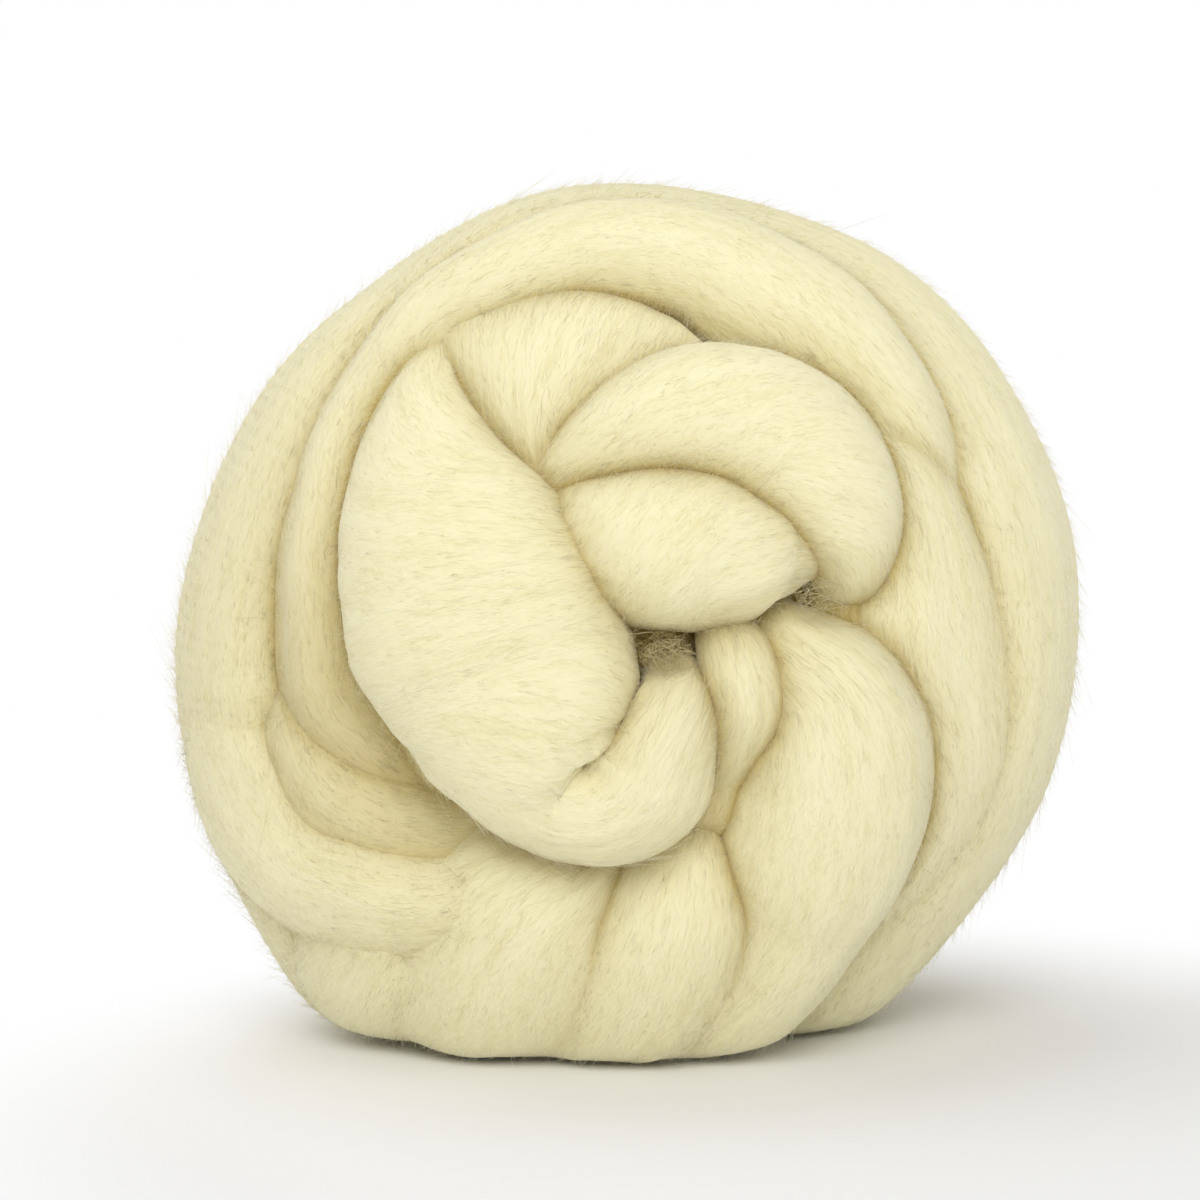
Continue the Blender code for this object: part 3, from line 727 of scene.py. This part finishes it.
def tube_faces(sections, around):
    """Faces of a tube, with a cap at each end."""
    start = np.arange(sections - 1)[:, None] * around
    here = start + np.arange(around)
    after = start + (np.arange(around) + 1) % around
    sides = np.stack([here, here + around, after + around, after], axis=-1).reshape(-1, 4)
    first = tuple(range(around))
    last = tuple(reversed(range((sections - 1) * around, sections * around)))
    return sides.tolist() + [first, last]


def add_piece(name, vertices, faces, fibre, crease, material):
    """Adds a smooth mesh with its fibre coordinates and painted crease shade, from points in mm.
    """
    mesh = bpy.data.meshes.new(name)
    mesh.from_pydata((vertices.reshape(-1, 3) * MM).tolist(), [], faces)
    attribute = mesh.attributes.new("fibre", "FLOAT_VECTOR", "POINT")
    attribute.data.foreach_set("vector", fibre.astype(np.float32).ravel())
    attribute = mesh.attributes.new("crease", "FLOAT", "POINT")
    attribute.data.foreach_set("value", crease.astype(np.float32).ravel())
    mesh.materials.append(material)
    mesh.shade_smooth()
    piece = new_object(name, mesh)
    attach(piece, "root")
    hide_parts("roving_ball")


def add_turn(name, surface, material):
    faces = tube_faces(*surface.points.shape[:2])
    add_piece(name, surface.points, faces, surface.fibre, surface.shade, material)


def heart_surface():
    """Surface of the filled heart, in sections from the ball's front to its back."""
    bearings = np.linspace(-180.0, 180.0, HEART_AROUND, endpoint=False)
    radii = np.array([reach(bearing) for bearing in bearings]) - HEART_BELOW
    depth = HALF_DEPTH - HEART_BELOW
    turn = np.radians(bearings)
    tilt = np.linspace(HEART_END, math.pi - HEART_END, HEART_SECTIONS)[:, None]
    points = np.stack([
        np.sin(tilt) * radii * np.sin(turn),
        np.broadcast_to(-depth * np.cos(tilt), (HEART_SECTIONS, HEART_AROUND)),
        np.sin(tilt) * radii * np.cos(turn),
    ], axis=-1)
    fibre = points * np.array([1.0, 1.0, HEART_STREAK])
    return pressed(points), fibre


def covered(points, outward, wool):
    """Whether the wool of another turn lies over each point."""
    hidden = []
    for point, direction in zip(points, outward):
        origin = Vector(point * MM) + Vector(direction) * SEEN_FROM * MM
        hit = wool.ray_cast(origin, Vector(direction), SEEN_WITHIN * MM)
        hidden.append(hit[0] is not None)
    return np.array(hidden)


def on_grid(values, section, column):
    """Values read between the grid's points, wrapping round each section."""
    sections, around = values.shape[:2]
    low = np.clip(np.floor(section).astype(int), 0, sections - 2)
    left = np.floor(column).astype(int)
    up = np.clip(section - low, 0.0, 1.0)[..., None]
    over = (column - left)[..., None]
    left, right = left % around, (left + 1) % around
    near = values[low, left] * (1.0 - over) + values[low, right] * over
    far = values[low + 1, left] * (1.0 - over) + values[low + 1, right] * over
    return near * (1.0 - up) + far * up


def fibre_paths(surface, kind, rng, wool):
    """Points along loose fibres on one turn, and the wool's own direction out there."""
    sections, around = surface.points.shape[:2]
    count = int(surface.area.sum() * kind.per_area)
    chance = surface.area.ravel() / surface.area.sum()
    start = rng.choice(surface.area.size, size=count, p=chance)
    section, column = np.divmod(start, around)
    roots = surface.points[section, column]
    outward = surface.normals[section, column]
    seen = ~covered(roots, outward, wool)
    section, column = section[seen], column[seen]
    count = len(section)

    t = np.linspace(0.0, 1.0, kind.points)[None, :]
    size = rng.uniform(*kind.length, (count, 1))
    lay = surface.lay[section][:, None]
    along = surface.length[section][:, None] + (t - 0.5) * size * np.cos(lay)
    along = np.clip(along, 0.0, surface.length[-1])
    turned = (np.interp(along, surface.length, surface.twist)
              - surface.twist[section][:, None]) / (2.0 * math.pi)
    wander = rng.normal(0.0, WANDER, (count, 1)) * (t - 0.5) * size / surface.girth
    height = rng.uniform(*SWAY_HEIGHT, (count, 1))
    wave_length = rng.uniform(*SWAY_LENGTH, (count, 1))
    phase = rng.uniform(0.0, SWAY_PHASE, (count, 1))
    sway = height * np.sin(t * size / wave_length + phase)
    part = surface.fraction[column][:, None] - turned + wander + sway / surface.girth
    part = part % 1.0
    marks = np.append(surface.fraction, 1.0)
    at_column = np.interp(part, marks, np.arange(around + 1))
    at_section = np.interp(along, surface.length, np.arange(sections))

    base = on_grid(surface.points, at_section, at_column)
    normal = unit(on_grid(surface.normals, at_section, at_column))
    lift = rng.uniform(*kind.lift, (count, 1))
    lift *= 1.0 + CREASE_LIFT * surface.shade[section, column][:, None]
    if kind is not LYING:
        rise = lift * t ** STAND_CURVE - STAND_TUCK * (1.0 - t)
        lean = rng.normal(0.0, 1.0, (count, 3))
        lean -= (lean * normal[:, 0]).sum(axis=1, keepdims=True) * normal[:, 0]
        bend = lean[:, None, :] * (t ** 2)[..., None] * lift[..., None] * STAND_LEAN
    else:
        rise = lift * np.sin(math.pi * t) ** ARCH_CURVE - LIE_TUCK
        bend = 0.0
    return base + normal * rise[..., None] + bend, normal, surface.shade[section, column]


def bridge_paths(surface, rng, wool):
    """Points along fibres that cross from one turn over the crease beside it."""
    gap = np.linalg.norm(surface.across, axis=-1)
    beside = surface.area * ((gap > BRIDGED[0]) & (gap < BRIDGED[1]))
    count = int(beside.sum() * BRIDGING.per_area)
    start = rng.choice(beside.size, size=count, p=beside.ravel() / beside.sum())
    section, column = np.divmod(start, beside.shape[1])
    root, across = surface.points[section, column], surface.across[section, column]
    opening = surface.opening[section, column]
    seen = ~covered(root, opening, wool)
    root, across, opening = root[seen], across[seen], opening[seen]
    count = len(root)

    t = np.linspace(0.0, 1.0, BRIDGING.points)[None, :, None]
    skewed = across + rng.normal(0.0, BRIDGE_SKEW, (count, 1)) * np.cross(opening, across)
    reach_over = rng.uniform(*BRIDGING.length, (count, 1, 1))
    lift = rng.uniform(*BRIDGING.lift, (count, 1, 1))
    paths = root[:, None] + skewed[:, None] * reach_over * t
    rise = lift * np.sin(math.pi * t) ** BRIDGE_CURVE - BRIDGE_TUCK
    paths = paths + opening[:, None] * rise
    normal = np.broadcast_to(opening[:, None], paths.shape)
    return paths, normal, surface.shade[section, column][seen]


def gap_hairs(gap, rng):
    """Points along thin wavy hairs that cross one gap from rim to rim."""
    t = np.linspace(0.0, 1.0, GAP_HAIR_POINTS)[None, :, None]
    start = rng.uniform(0.0, 2.0 * math.pi, gap.hairs)
    end = start + math.pi + rng.normal(0.0, GAP_HAIR_SKEW, gap.hairs)
    ends = []
    for angle in (start, end):
        ends.append(np.column_stack([
            gap.right + gap.half_width * np.cos(angle),
            rng.uniform(-GAP_HAIR_DEPTH, GAP_HAIR_DEPTH, gap.hairs) + gap.below - HALF_DEPTH,
            gap.up + gap.half_height * np.sin(angle) + CENTRE_UP - FLAT_CUT,
        ])[:, None])
    bend = rng.normal(0.0, GAP_HAIR_BEND, (gap.hairs, 1, 3)) * np.sin(math.pi * t)
    wave = rng.normal(0.0, GAP_HAIR_WAVE, (gap.hairs, 1, 3)) * np.sin(
        2.0 * math.pi * (t * rng.uniform(*GAP_HAIR_WAVES, (gap.hairs, 1, 1))))
    paths = ends[0] + (ends[1] - ends[0]) * t + bend + wave
    return paths, np.broadcast_to((0.0, -1.0, 0.0), paths.shape)


def fibre_mesh(paths, normals, radius):
    """Vertices and faces of thin three-sided fibres that run to a point at both ends."""
    count, points = paths.shape[:2]
    along = unit(np.gradient(paths, axis=1))
    side = unit(np.cross(along, normals))
    up = np.cross(side, along)
    inner = slice(1, points - 1)
    rings = []
    for corner in range(3):
        turn = 2.0 * math.pi * corner / 3.0
        offset = math.cos(turn) * up[:, inner] + math.sin(turn) * side[:, inner]
        rings.append(paths[:, inner] + radius * offset)
    rings = np.stack(rings, axis=2).reshape(count, 3 * (points - 2), 3)
    vertices = np.concatenate([paths[:, :1], rings, paths[:, -1:]], axis=1)

    size = vertices.shape[1]
    pattern = [(0, 1 + (corner + 1) % 3, 1 + corner) for corner in range(3)]
    for ring in range(points - 3):
        for corner in range(3):
            here, after = 1 + 3 * ring + corner, 1 + 3 * ring + (corner + 1) % 3
            pattern += [(here, after, after + 3), (here, after + 3, here + 3)]
    last = size - 4
    pattern += [(size - 1, last + corner, last + (corner + 1) % 3) for corner in range(3)]
    starts = (np.arange(count) * size)[:, None, None]
    faces = (np.array(pattern)[None] + starts).reshape(-1, 3)
    return vertices.reshape(-1, 3), faces


def add_fibres(name, surfaces, kind, wool, material, seed):
    """One piece with the loose fibres of several turns."""
    rng = np.random.default_rng([SEED, seed])
    vertices, faces, creases, count = [], [], [], 0
    for surface in surfaces:
        if kind is BRIDGING:
            paths, normals, shade = bridge_paths(surface, rng, wool)
        else:
            paths, normals, shade = fibre_paths(surface, kind, rng, wool)
        paths[..., 2] = np.maximum(paths[..., 2], FLOOR_GAP + kind.radius)
        part, part_faces = fibre_mesh(paths, normals, kind.radius)
        vertices.append(part)
        faces.append(part_faces + count)
        # painted shade: each fibre is darkened by the shade of the wool at its root
        creases.append(np.repeat(shade, 3 * kind.points - 4))
        count += len(part)
    vertices, faces, crease = map(np.concatenate, (vertices, faces, creases))
    add_piece(name, vertices, faces.tolist(), vertices, crease, material)


# Materials

# Colours, and where they lie in the pattern of the wool and of single fibres
WOOL_LIGHT = (0.940, 0.885, 0.600, 1.0)
WOOL_MIDDLE = (0.900, 0.838, 0.530, 1.0)
WOOL_SHADE = (0.820, 0.745, 0.420, 1.0)
LOOSE_FIBRE = (0.960, 0.930, 0.740, 1.0)
WOOL_STOPS = [(0.33, WOOL_SHADE), (0.47, WOOL_MIDDLE), (0.66, WOOL_LIGHT)]
FIBRE_STOPS = [(0.3, WOOL_MIDDLE), (0.7, LOOSE_FIBRE)]
# painted shade: the colour that the wool and its fibres are multiplied towards in creases, gaps
# and deep turns
PAINTED_CREASE_SHADE = (0.56, 0.46, 0.22, 1.0)
WOOL_SHEEN = {
    "Roughness": 0.85,
    "Specular IOR Level": 0.15,
    "Sheen Weight": 0.40,
    "Sheen Roughness": 0.5,
    "Sheen Tint": (1.0, 0.97, 0.86, 1.0),
}

# Streaks of three sizes are mixed into the wool's pattern, and the crimp is made uneven by
# others. Scale is cells to the millimetre, and stretch is a streak's width over its length.
Streaks = namedtuple("Streaks", "scale stretch detail roughness")
BROAD = Streaks(0.22, 0.16, 2.0, 0.6)
LOCKS = Streaks(0.9, 0.16, 3.0, 0.6)
HAIRS = Streaks(3.0, 0.112, 2.0, 0.6)
CRIMP = Streaks(0.5, 0.15, 1.0, 0.5)
FIBRE_SCALE, FIBRE_DETAIL = 0.4, 1.0    # of the pattern of loose fibres
LOCK_BUMP, LOCK_HEIGHT = 0.6, 0.5       # strength of the relief, and its height in mm
HAIR_BUMP, HAIR_HEIGHT = 0.7, 0.16
CRIMP_LENGTH = 2.4         # mm from one wave of a fibre's crimp to the next
CRIMP_HEIGHT = 0.12
CRIMP_UNEVEN = 14.0        # radians by which the waves of different fibres are out of step


def feed(node, inputs):
    """Sets a node's inputs to values, or links them to other nodes' outputs."""
    for name, value in inputs.items():
        if isinstance(value, bpy.types.NodeSocket):
            node.id_data.links.new(value, node.inputs[name])
        else:
            node.inputs[name].default_value = value


def new_node(tree, kind, inputs, **settings):
    node = tree.nodes.new(kind)
    for name, value in settings.items():
        setattr(node, name, value)
    feed(node, inputs)
    return node


def new_material(name, inputs):
    """A new material, with the inputs of its shader set."""
    material = bpy.data.materials.new(name)
    material.use_nodes = True
    shader = material.node_tree.nodes["Principled BSDF"]
    feed(shader, inputs)
    return material, material.node_tree, shader


def combined(tree, operation, *values):
    """Output of a math node."""
    inputs = dict(enumerate(values))
    return new_node(tree, "ShaderNodeMath", inputs, operation=operation).outputs[0]


def stored(tree, name, output):
    """Output of a node that reads one of the mesh's attributes."""
    return new_node(tree, "ShaderNodeAttribute", {}, attribute_name=name).outputs[output]


def streaks(tree, vector, kind):
    """Noise drawn out along the fibres."""
    inputs = {0: vector, 1: (1.0, 1.0, kind.stretch)}
    stretched = new_node(tree, "ShaderNodeVectorMath", inputs, operation="MULTIPLY")
    return new_node(tree, "ShaderNodeTexNoise", {
        "Vector": stretched.outputs["Vector"],
        "Scale": kind.scale,
        "Detail": kind.detail,
        "Roughness": kind.roughness,
    }).outputs["Fac"]


def crimped(tree, vector):
    """The fibre coordinates swayed from side to side along the fibre, as crimped wool is."""
    along = new_node(tree, "ShaderNodeSeparateXYZ", {0: vector}).outputs["Z"]
    travel = combined(tree, "MULTIPLY", along, 2.0 * math.pi / CRIMP_LENGTH)
    uneven = streaks(tree, vector, CRIMP)
    phase = combined(tree, "MULTIPLY", uneven, CRIMP_UNEVEN)
    wave = combined(tree, "SINE", combined(tree, "ADD", travel, phase))
    sway = combined(tree, "MULTIPLY", wave, CRIMP_HEIGHT)
    aside = new_node(tree, "ShaderNodeCombineXYZ", {"X": sway, "Y": sway}).outputs[0]
    inputs = {0: vector, 1: aside}
    return new_node(tree, "ShaderNodeVectorMath", inputs, operation="ADD").outputs["Vector"]


def colour_wool(tree, shader, pattern, stops):
    """Gives a shader its colours, by place in the pattern, with painted shade that darkens it in
    the creases and deep in the ball.
    """
    ramp = new_node(tree, "ShaderNodeValToRGB", {"Fac": pattern})
    elements = ramp.color_ramp.elements
    for element, (position, colour) in zip(elements, (stops[0], stops[-1])):
        element.position = position
        element.color = colour
    for position, colour in stops[1:-1]:
        elements.new(position).color = colour
    # painted shade: the crease attribute darkens the colour towards the crease shade colour
    crease = stored(tree, "crease", "Fac")
    inputs = {0: crease, 6: ramp.outputs["Color"], 7: PAINTED_CREASE_SHADE}      # share and colours
    shaded = new_node(tree, "ShaderNodeMix", inputs, data_type="RGBA", blend_type="MULTIPLY")
    feed(shader, {"Base Color": shaded.outputs[2]})


def wool_material():
    material, tree, shader = new_material("cream_wool", WOOL_SHEEN)
    fibre = stored(tree, "fibre", "Vector")
    wavy = crimped(tree, fibre)
    broad = streaks(tree, fibre, BROAD)
    locks = streaks(tree, wavy, LOCKS)
    hairs = streaks(tree, wavy, HAIRS)
    total = combined(tree, "ADD", combined(tree, "ADD", broad, locks), hairs)
    colour_wool(tree, shader, combined(tree, "MULTIPLY", total, 1.0 / 3.0), WOOL_STOPS)

    coarse = new_node(tree, "ShaderNodeBump", {
        "Strength": LOCK_BUMP,
        "Distance": LOCK_HEIGHT * MM,
        "Height": locks,
    })
    fine = new_node(tree, "ShaderNodeBump", {
        "Strength": HAIR_BUMP,
        "Distance": HAIR_HEIGHT * MM,
        "Height": hairs,
        "Normal": coarse.outputs["Normal"],
    })
    feed(shader, {"Normal": fine.outputs["Normal"]})
    return material


def fibre_material():
    """Single fibres, each a little lighter or darker along its length, and darkened by painted
    shade in creases and gaps.
    """
    material, tree, shader = new_material("loose_wool_fibre", WOOL_SHEEN)
    fibre = stored(tree, "fibre", "Vector")
    inputs = {"Vector": fibre, "Scale": FIBRE_SCALE, "Detail": FIBRE_DETAIL}
    pattern = new_node(tree, "ShaderNodeTexNoise", inputs).outputs["Fac"]
    colour_wool(tree, shader, pattern, FIBRE_STOPS)
    return material


# The stage

FLOOR_SIZE = 6.0               # metres
FLOOR_MATT = {
    "Base Color": (0.92, 0.92, 0.93, 1.0),
    "Roughness": 0.9,
    "Specular IOR Level": 0.1,
}
WHITE = (1.0, 1.0, 1.0, 1.0)
GREY_AT = (0.04, -0.08, 0.0)       # the floor is greyest round this place
FADE_FROM, FADE_TO = 0.10, 0.17    # metres from there where the floor turns to plain white
FILL_STRENGTH = 0.40               # of the surroundings' light

# The softboxes, in metres and watts
Softbox = namedtuple("Softbox", "name location size watts")
SOFTBOXES = [
    Softbox("key", (0.05, -1.05, 0.90), 0.8, 9.2),
    Softbox("top", (-0.3, 0.25, 1.4), 0.9, 5.0),
]


def show_mixed(tree, output, share, first, second):
    """Shows two shaders, with the given share of the second."""
    inputs = {"Fac": share, 1: first.outputs[0], 2: second.outputs[0]}
    mix = new_node(tree, "ShaderNodeMixShader", inputs)
    feed(tree.nodes[output], {"Surface": mix.outputs["Shader"]})


def add_floor():
    """Pale floor that turns to the white of the background away from the ball."""
    bpy.ops.mesh.primitive_plane_add(size=FLOOR_SIZE)
    floor = bpy.context.object
    floor.name = "floor"
    material, tree, shader = new_material("floor_white", FLOOR_MATT)
    white = new_node(tree, "ShaderNodeEmission", {"Color": WHITE})
    position = new_node(tree, "ShaderNodeNewGeometry", {}).outputs["Position"]
    inputs = {0: position, 1: GREY_AT}
    away = new_node(tree, "ShaderNodeVectorMath", inputs, operation="DISTANCE")
    inputs = {"Value": away.outputs["Value"], "From Min": FADE_FROM, "From Max": FADE_TO}
    fade = new_node(tree, "ShaderNodeMapRange", inputs, interpolation_type="SMOOTHSTEP")
    show_mixed(tree, "Material Output", fade.outputs["Result"], shader, white)
    floor.data.materials.append(material)


def add_world():
    """White surroundings that light the wool less than they shine in the picture."""
    world = bpy.data.worlds.new("studio")
    world.use_nodes = True
    bpy.context.scene.world = world
    tree = world.node_tree
    shown = tree.nodes["Background"]
    feed(shown, {"Color": WHITE})
    fill = new_node(
        tree, "ShaderNodeBackground", {"Color": WHITE, "Strength": FILL_STRENGTH})
    seen = new_node(tree, "ShaderNodeLightPath", {}).outputs["Is Camera Ray"]
    show_mixed(tree, "World Output", seen, fill, shown)


def aim(thing, target):
    direction = Vector(target) - thing.location
    thing.rotation_mode = "QUATERNION"
    thing.rotation_quaternion = direction.to_track_quat("-Z", "Y")


def add_softbox(box):
    light = bpy.data.lights.new(box.name, "AREA")
    light.size = box.size
    light.energy = box.watts
    lamp = new_object(box.name, light)
    lamp.location = box.location
    aim(lamp, (0.0, 0.0, CENTRE_UP * MM))


def add_camera():
    lens = bpy.data.cameras.new("camera")
    camera = new_object("camera", lens)
    raised = math.radians(CAMERA_RAISED)
    centre = Vector((0.0, 0.0, CENTRE_UP * MM))
    back = Vector((0.0, -math.cos(raised), math.sin(raised)))
    camera.location = centre + back * CAMERA_AWAY * MM
    aim(camera, centre)
    lens.sensor_width = SENSOR
    lens.lens = SENSOR * PIXELS_PER_MM * CAMERA_AWAY / PICTURE
    lens.shift_x = -(BALL_AT[0] - PICTURE / 2) / PICTURE
    lens.shift_y = (BALL_AT[1] - PICTURE / 2) / PICTURE
    lens.clip_start = 0.01
    bpy.context.scene.camera = camera
    bpy.context.scene.view_settings.view_transform = "Standard"


def wool_surfaces():
    """Each turn's surface, by name, with the creases between them softened."""
    turns = dict(TURNS)
    turns["back_coil"] = Turn(coil_rows(), step=2.8, around=124)
    swept = [sweep(turn, seed) for seed, turn in enumerate(turns.values())]
    return dict(zip(turns, softened(turns.values(), swept)))


def wool_tree(surfaces):
    """All turns as they are, in metres, to cast rays at."""
    points, faces = joined(surfaces, 0.0, 1)[:2]
    return BVHTree.FromPolygons((points * MM).tolist(), faces.tolist())


def add_heart(material):
    points, fibre = heart_surface()
    faces = tube_faces(HEART_SECTIONS, HEART_AROUND)
    # painted shade: the heart is given full shade, as dark as the deepest crease, where it shows
    # in the gaps
    add_piece("heart", points, faces, fibre, np.ones(points.shape[:2]), material)


def add_gap_hairs(material):
    rng = np.random.default_rng([SEED, FIBRE_SEEDS["gap"]])
    for number, gap in enumerate(GAPS):
        vertices, faces = fibre_mesh(*gap_hairs(gap, rng), GAP_HAIR_RADIUS)
        # painted shade: the hairs are darkened by their gap's shade
        add_piece("gap_hairs_%d" % (number + 1), vertices, faces.tolist(), vertices,
                  np.full(len(vertices), gap.shade), material)


def add_wool():
    """The turns, the heart under them and the loose fibres."""
    wool, loose = wool_material(), fibre_material()
    surfaces = wool_surfaces()
    for name, surface in surfaces.items():
        add_turn(name, surface, wool)
    add_heart(wool)
    add_gap_hairs(loose)
    tree = wool_tree(surfaces.values())
    groups = {"face": [], "rings": [], "coil": []}
    for name, surface in surfaces.items():
        groups[FIBRE_GROUPS.get(name, "face")].append(surface)
    for number, (group, members) in enumerate(groups.items()):
        for name, kind in FIBRE_KINDS.items():
            seed = FIBRE_SEEDS[name] + number
            add_fibres("%s_fibres_%s" % (name, group), members, kind, tree, loose, seed)


add_camera()
add_world()
for softbox in SOFTBOXES:
    add_softbox(softbox)
add_floor()
add_wool()
